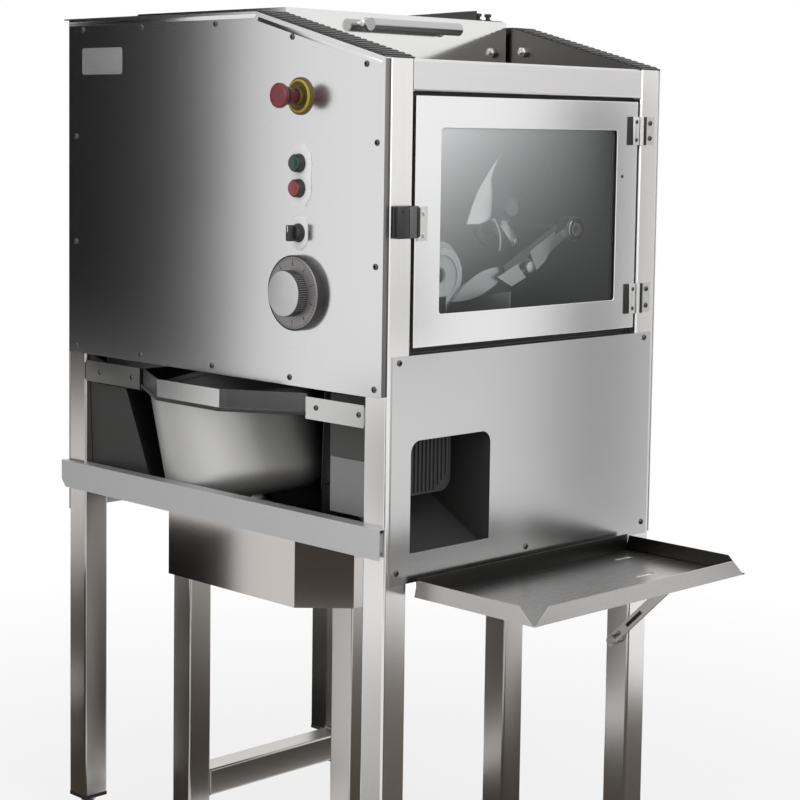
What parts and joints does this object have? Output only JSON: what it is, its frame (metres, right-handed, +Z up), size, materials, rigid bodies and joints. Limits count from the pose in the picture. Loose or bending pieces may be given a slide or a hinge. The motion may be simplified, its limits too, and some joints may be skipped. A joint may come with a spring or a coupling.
{
  "type": "dough divider rounder",
  "caption": "Free-standing dough divider and rounder: hopper and auger feed a swinging knife behind a hinged window, a tilted bowl rounds the pieces, and an outlet drops them on a tray",
  "frame": {"origin": "on the floor under the middle of the whole outline", "axes": "X right along the front with the window, Y to the rear, Z up; the control panel faces -X"},
  "size_m": [0.7416, 1.107, 1.513],
  "materials": {
    "stainless": "brushed stainless sheet and tube",
    "polished_steel": "polished stainless",
    "dark_cap": "dark ribbed strip",
    "black_rubber": "matt black rubber",
    "black_plastic": "matt black moulding",
    "white_plastic": "matt white moulding",
    "yellow_plastic": "yellow plate",
    "red_plastic": "glossy red",
    "green_plastic": "glossy green",
    "motor_paint": "grey drive paint",
    "cast_housing": "cast housing",
    "aluminium": "turned aluminium",
    "window_glass": "clear pane"
  },
  "bodies": {
    "frame": {"auger_barrel": "stainless", "auger_gearmotor": "motor_paint", "bowl_bearing": "cast_housing", "chamber_back_plate": "stainless", "chamber_plates": "stainless", "control_panel": "stainless", "cover_screws": "stainless", "curved_deflector": "stainless", "cutter_gearmotor": "motor_paint", "dial_scale": "aluminium", "door_switch": "black_plastic", "drive_guard": "stainless", "estop_ring": "yellow_plastic", "fluted_plate": "black_plastic", "front_posts": "stainless", "guard_collar": "stainless", "hopper": "stainless", "inner_walls": "stainless", "knife_bearing": "cast_housing", "knife_stop": "black_rubber", "legend_plates": "white_plastic", "levelling_feet": "black_rubber", "lid_hinge": "stainless", "lower_front_panel": "stainless", "nozzle": "white_plastic", "outlet_chute": "stainless", "post_hinge_leaves": "stainless", "rear_panel": "stainless", "rear_posts": "stainless", "right_side_panel": "stainless", "rounder_deck": "stainless", "rounder_gearmotor": "motor_paint", "rounder_stand": "stainless", "rounding_track": "stainless", "shelf_lip": "stainless", "switch_bezels": "black_plastic", "switch_blocks": "black_plastic", "top_rails": "stainless", "transfer_chute": "stainless", "tray_fixings": "stainless", "wall_caps": "dark_cap"},
    "door": {"door_frame": "stainless", "door_glass": "window_glass", "window_seal": "black_rubber", "door_fittings": "stainless"},
    "lid": {"hopper_lid": "polished_steel", "lid_handle": "polished_steel", "lid_wedge": "black_plastic"},
    "estop": {"estop_button": "red_plastic"},
    "start": {"start_button": "green_plastic"},
    "stop": {"stop_button": "red_plastic"},
    "selector": {"selector_knob": "black_plastic"},
    "dial": {"dial_knob": "aluminium"},
    "knife": {"knife_arm": "stainless", "knife_shaft": "stainless"},
    "screw": {"auger": "stainless"},
    "bowl": {"bowl": "stainless", "bowl_spindle": "stainless"},
    "tray": {"tray": "stainless"},
    "strut": {"tray_strut": "stainless"}
  },
  "joints": [
    {"name": "door_swing", "type": "hinge", "parent": "frame", "child": "door", "pos_m": [0.31425, -0.296, 1.15], "axis": [0, 0, 1], "range_deg": [0, 110]},
    {"name": "lid_lift", "type": "hinge", "parent": "frame", "child": "lid", "pos_m": [0.03925, 0.4295, 1.492], "axis": [-1, 0, 0], "range_deg": [0, 85]},
    {"name": "estop_push", "type": "slide", "parent": "frame", "child": "estop", "axis": [1, 0, 0], "range_m": [0, 0.004], "stiffness_N_per_m": 900},
    {"name": "start_push", "type": "slide", "parent": "frame", "child": "start", "axis": [1, 0, 0], "range_m": [0, 0.003], "stiffness_N_per_m": 500},
    {"name": "stop_push", "type": "slide", "parent": "frame", "child": "stop", "axis": [1, 0, 0], "range_m": [0, 0.003], "stiffness_N_per_m": 500},
    {"name": "selector_turn", "type": "hinge", "parent": "frame", "child": "selector", "pos_m": [-0.31075, -0.0985, 1.13], "axis": [1, 0, 0], "range_deg": [-45, 45]},
    {"name": "dial_turn", "type": "hinge", "parent": "frame", "child": "dial", "pos_m": [-0.32075, -0.0985, 1.034], "axis": [1, 0, 0], "range_deg": [-135, 135]},
    {"name": "knife_swing", "type": "hinge", "parent": "frame", "child": "knife", "pos_m": [0.25425, -0.1915, 1.126], "axis": [0, 1, 0], "range_deg": [0, 20]},
    {"name": "auger_spin", "type": "hinge", "parent": "frame", "child": "screw", "pos_m": [-0.06075, 0.1095, 1.056], "axis": [0, 1, 0], "continuous": true},
    {"name": "bowl_spin", "type": "hinge", "parent": "frame", "child": "bowl", "pos_m": [-0.13075, 0.2175, 0.636], "axis": [0, 0.2924, 0.9563], "continuous": true},
    {"name": "tray_tilt", "type": "hinge", "parent": "frame", "child": "tray", "pos_m": [0.02925, -0.2965, 0.566], "axis": [1, 0, 0], "range_deg": [0, 10]},
    {"name": "strut_swing", "type": "hinge", "parent": "tray", "child": "strut", "pos_m": [0.30825, -0.4505, 0.575], "axis": [1, 0, 0], "range_deg": [-5.6, 0]}
  ],
  "couplings": [
    {"joint": "strut_swing", "follows": "tray_tilt", "ratio": -0.554}
  ]
}
